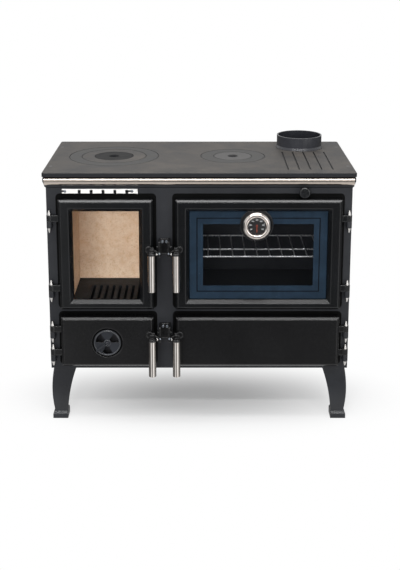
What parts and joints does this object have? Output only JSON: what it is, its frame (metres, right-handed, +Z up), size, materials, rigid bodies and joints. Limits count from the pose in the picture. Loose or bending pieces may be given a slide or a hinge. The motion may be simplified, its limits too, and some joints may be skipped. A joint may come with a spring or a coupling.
{
  "type": "wood cookstove",
  "caption": "Free-standing black cast-iron wood cookstove: fire chamber and oven side by side, glazed doors, lower ash and soot doors, ring hobs, top flue collar.",
  "frame": {"origin": "centre of the object's bounding box in plan, on the floor under the feet", "axes": "+X to the right seen from the front, +Y to the back (the doors face -Y), +Z up"},
  "size_m": [0.9, 0.512, 0.805],
  "materials": {
    "cast_black": "semi-matt black heat-resistant paint on cast iron",
    "cooktop_iron": "ground and blackened cast iron",
    "ring_iron": "ground and blackened cast iron",
    "cover_iron": "ground and blackened cast iron",
    "grate_iron": "raw grey iron",
    "sheet_black": "semi-matt black paint on sheet steel",
    "oven_enamel": "black vitreous enamel",
    "pan_steel": "dark painted sheet steel",
    "polished_steel": "polished stainless steel",
    "brushed_strip": "bright stainless strip",
    "screw_steel": "zinc-plated steel",
    "rack_chrome": "bright chrome wire",
    "knob_black": "black thermoset plastic",
    "fire_board": "sand-coloured pressed vermiculite board",
    "fire_glass": "clear glass ceramic",
    "oven_glass": "heat-resistant glass with a printed border",
    "rope_seal": "woven glass-fibre rope",
    "dial_face": "black dial with white marks",
    "pointer_red": "orange-red lacquer"
  },
  "bodies": {
    "root": {"front_frame": "cast_black", "catches": "cast_black", "front_left_leg": "cast_black", "front_right_leg": "cast_black", "back_left_leg": "cast_black", "back_right_leg": "cast_black", "top_frame": "cast_black", "flue_collar": "cast_black", "cooktop_plate": "cooktop_iron", "fire_floor": "grate_iron", "grate": "grate_iron", "body_shell": "sheet_black", "bottom_panel": "sheet_black", "deck_plate": "sheet_black", "casing": "sheet_black", "ash_box": "sheet_black", "flue_box": "sheet_black", "oven_box": "oven_enamel", "ash_pan": "pan_steel", "front_rail": "polished_steel", "hinge_pins": "polished_steel", "plate_screws": "screw_steel", "face_screws": "screw_steel", "leg_bolts": "screw_steel", "oven_rack": "rack_chrome", "fire_side_boards": "fire_board", "fire_back_board": "fire_board"},
    "fire_door": {"fire_door_frame": "cast_black", "fire_door_glass": "fire_glass", "fire_door_clips": "screw_steel", "fire_door_seal": "rope_seal"},
    "oven_door": {"oven_door_frame": "cast_black", "oven_door_glass": "oven_glass", "oven_door_clips": "screw_steel", "oven_door_seal": "rope_seal", "thermometer_case": "polished_steel", "thermometer_dial": "dial_face"},
    "ash_door": {"ash_door_panel": "cast_black", "ash_door_seal": "rope_seal", "air_wheel_rivet": "screw_steel"},
    "soot_door": {"soot_door_panel": "cast_black", "soot_door_seal": "rope_seal"},
    "fire_latch": {"fire_latch_lever": "cast_black", "fire_latch_handle": "polished_steel"},
    "oven_latch": {"oven_latch_lever": "cast_black", "oven_latch_handle": "polished_steel"},
    "ash_latch": {"ash_latch_lever": "cast_black", "ash_latch_handle": "polished_steel"},
    "soot_latch": {"soot_latch_lever": "cast_black", "soot_latch_handle": "polished_steel"},
    "air_slide": {"air_slide": "brushed_strip"},
    "air_wheel": {"air_wheel": "cast_black"},
    "damper": {"damper": "sheet_black", "damper_knob": "knob_black"},
    "thermometer_pointer": {"thermometer_pointer": "pointer_red"},
    "left_outer_ring": {"left_outer_ring": "ring_iron"},
    "left_middle_ring": {"left_middle_ring": "ring_iron"},
    "left_cover": {"left_cover": "cover_iron"},
    "right_ring": {"right_ring": "ring_iron"},
    "right_cover": {"right_cover": "cover_iron"}
  },
  "joints": [
    {"name": "fire_door_hinge", "type": "hinge", "parent": "root", "child": "fire_door", "pos_m": [-0.432, -0.186, 0.523], "axis": [0, 0, -1], "range_deg": [0, 110]},
    {"name": "oven_door_hinge", "type": "hinge", "parent": "root", "child": "oven_door", "pos_m": [0.432, -0.186, 0.523], "axis": [0, 0, 1], "range_deg": [0, 110]},
    {"name": "ash_door_hinge", "type": "hinge", "parent": "root", "child": "ash_door", "pos_m": [-0.432, -0.186, 0.257], "axis": [0, 0, -1], "range_deg": [0, 110]},
    {"name": "soot_door_hinge", "type": "hinge", "parent": "root", "child": "soot_door", "pos_m": [0.432, -0.186, 0.257], "axis": [0, 0, 1], "range_deg": [0, 110]},
    {"name": "fire_latch_turn", "type": "hinge", "parent": "fire_door", "child": "fire_latch", "pos_m": [-0.145, -0.2145, 0.545], "axis": [0, 1, 0], "range_deg": [0, 75]},
    {"name": "oven_latch_turn", "type": "hinge", "parent": "oven_door", "child": "oven_latch", "pos_m": [-0.057, -0.2145, 0.545], "axis": [0, -1, 0], "range_deg": [0, 75]},
    {"name": "ash_latch_turn", "type": "hinge", "parent": "ash_door", "child": "ash_latch", "pos_m": [-0.145, -0.2145, 0.285], "axis": [0, 1, 0], "range_deg": [0, 75]},
    {"name": "soot_latch_turn", "type": "hinge", "parent": "soot_door", "child": "soot_latch", "pos_m": [-0.057, -0.2145, 0.285], "axis": [0, -1, 0], "range_deg": [0, 75]},
    {"name": "air_slide_shift", "type": "slide", "parent": "root", "child": "air_slide", "axis": [1, 0, 0], "range_m": [0, 0.017]},
    {"name": "air_wheel_turn", "type": "hinge", "parent": "ash_door", "child": "air_wheel", "pos_m": [-0.27, -0.2075, 0.256], "axis": [0, 1, 0], "range_deg": [0, 60]},
    {"name": "damper_pull", "type": "slide", "parent": "root", "child": "damper", "axis": [0, -1, 0], "range_m": [0, 0.06]},
    {"name": "thermometer_turn", "type": "hinge", "parent": "oven_door", "child": "thermometer_pointer", "pos_m": [0.165, -0.2075, 0.6125], "axis": [0, 1, 0], "range_deg": [0, 270]},
    {"name": "left_outer_ring_lift", "type": "slide", "parent": "root", "child": "left_outer_ring", "axis": [0, 0, 1], "range_m": [0, 0.1]},
    {"name": "left_middle_ring_lift", "type": "slide", "parent": "left_outer_ring", "child": "left_middle_ring", "axis": [0, 0, 1], "range_m": [0, 0.1]},
    {"name": "left_cover_lift", "type": "slide", "parent": "left_middle_ring", "child": "left_cover", "axis": [0, 0, 1], "range_m": [0, 0.1]},
    {"name": "right_ring_lift", "type": "slide", "parent": "root", "child": "right_ring", "axis": [0, 0, 1], "range_m": [0, 0.1]},
    {"name": "right_cover_lift", "type": "slide", "parent": "right_ring", "child": "right_cover", "axis": [0, 0, 1], "range_m": [0, 0.1]}
  ]
}
